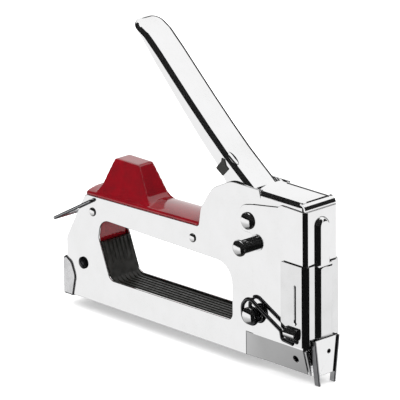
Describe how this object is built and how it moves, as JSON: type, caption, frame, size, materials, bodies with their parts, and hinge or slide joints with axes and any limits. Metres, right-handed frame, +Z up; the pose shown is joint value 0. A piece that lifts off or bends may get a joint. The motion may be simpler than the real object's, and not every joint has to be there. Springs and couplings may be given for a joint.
{
  "type": "staple gun",
  "caption": "Hand staple gun: hinged squeeze lever, spring plunger and blade, rear loading magazine, sliding cable fork at the nose, and a wire bail that locks the lever.",
  "frame": {"origin": "under the middle of the tool's length and width, level with the tips of the nose fork", "axes": "+X towards the nose, +Z up, Y across the tool with the nearer plate at -Y"},
  "size_m": [0.2197, 0.0452, 0.1916],
  "materials": {
    "chrome": "bright chrome plating on pressed steel sheet",
    "zinc_steel": "dull zinc plated steel",
    "staple_wire": "glued flat steel wire",
    "spring_wire": "bright spring steel wire with a thin film of oil",
    "grey_metal": "smooth light grey die casting",
    "dark_steel": "black oxide steel",
    "red_plastic": "glossy deep red moulded plastic",
    "black_rubber": "satin black soft plastic, ribbed where the fingers rest"
  },
  "bodies": {
    "frame": {"left_side_plate": "chrome", "right_side_plate": "chrome", "front_cover": "chrome", "top_cap": "chrome", "nose_plate": "chrome", "grip_cover": "red_plastic", "grip_liner": "black_rubber", "magazine_channel": "zinc_steel", "magazine_core": "zinc_steel", "staple_strip": "staple_wire", "rear_spacer": "zinc_steel", "rear_screw": "dark_steel", "rear_nut": "zinc_steel", "grip_rivets": "chrome", "lever_pivot_pin": "chrome", "cross_pin": "chrome", "lower_rivet": "chrome", "bumper": "black_rubber", "spring_guide": "zinc_steel", "sleeve_guide_pins": "chrome", "main_spring": "spring_wire", "lever_return_spring": "spring_wire"},
    "lever": {"lever_channel": "chrome", "lever_bush": "zinc_steel", "lifting_fork": "zinc_steel", "fork_rivets": "zinc_steel", "lever_buffer": "black_rubber"},
    "plunger": {"plunger_cup": "zinc_steel", "trunnions": "zinc_steel", "blade_holder": "zinc_steel", "driver_blade": "zinc_steel", "blade_screws": "dark_steel"},
    "loader": {"end_cap": "grey_metal", "pusher_rod": "zinc_steel", "pusher_spring": "spring_wire"},
    "pusher": {"pusher": "zinc_steel"},
    "bail": {"handle_bail": "spring_wire"},
    "nose_guide": {"nose_sleeve": "chrome", "nose_fork": "chrome"},
    "left_spring": {"left_guide_spring": "spring_wire"},
    "right_spring": {"right_guide_spring": "spring_wire"}
  },
  "joints": [
    {"name": "lever_hinge", "type": "hinge", "parent": "frame", "child": "lever", "pos_m": [0.0585, 0, 0.0905], "axis": [0, -1, 0], "range_deg": [0, 42], "stiffness_Nm_per_rad": 2, "springref_deg": -17.19, "deforming": ["lever_return_spring"]},
    {"name": "plunger_slide", "type": "slide", "parent": "frame", "child": "plunger", "axis": [0, 0, 1], "range_m": [0, 0.0254], "deforming": ["main_spring"]},
    {"name": "nose_slide", "type": "slide", "parent": "frame", "child": "nose_guide", "axis": [0, 0, -1], "range_m": [0, 0.008], "stiffness_N_per_m": 400, "springref_m": -0.02},
    {"name": "left_spring_hinge", "type": "hinge", "parent": "frame", "child": "left_spring", "pos_m": [0.064, 0, 0.035], "axis": [0, 1, 0], "range_deg": [0, 18.6]},
    {"name": "right_spring_hinge", "type": "hinge", "parent": "frame", "child": "right_spring", "pos_m": [0.064, 0, 0.035], "axis": [0, 1, 0], "range_deg": [0, 18.6]},
    {"name": "loader_slide", "type": "slide", "parent": "frame", "child": "loader", "axis": [-1, 0, 0], "range_m": [0, 0.12]},
    {"name": "pusher_slide", "type": "slide", "parent": "loader", "child": "pusher", "axis": [-1, 0, 0], "range_m": [0, 0.09], "stiffness_N_per_m": 30, "springref_m": -0.1, "deforming": ["pusher_spring"]},
    {"name": "bail_hinge", "type": "hinge", "parent": "frame", "child": "bail", "pos_m": [-0.0748, 0, 0.072], "axis": [0, 1, 0], "range_deg": [-14, 150]}
  ],
  "couplings": [
    {"joint": "plunger_slide", "follows": "lever_hinge", "m_per_rad": 0.034562},
    {"joint": "left_spring_hinge", "follows": "nose_slide", "rad_per_m": 40.1},
    {"joint": "right_spring_hinge", "follows": "nose_slide", "rad_per_m": 40.1}
  ]
}
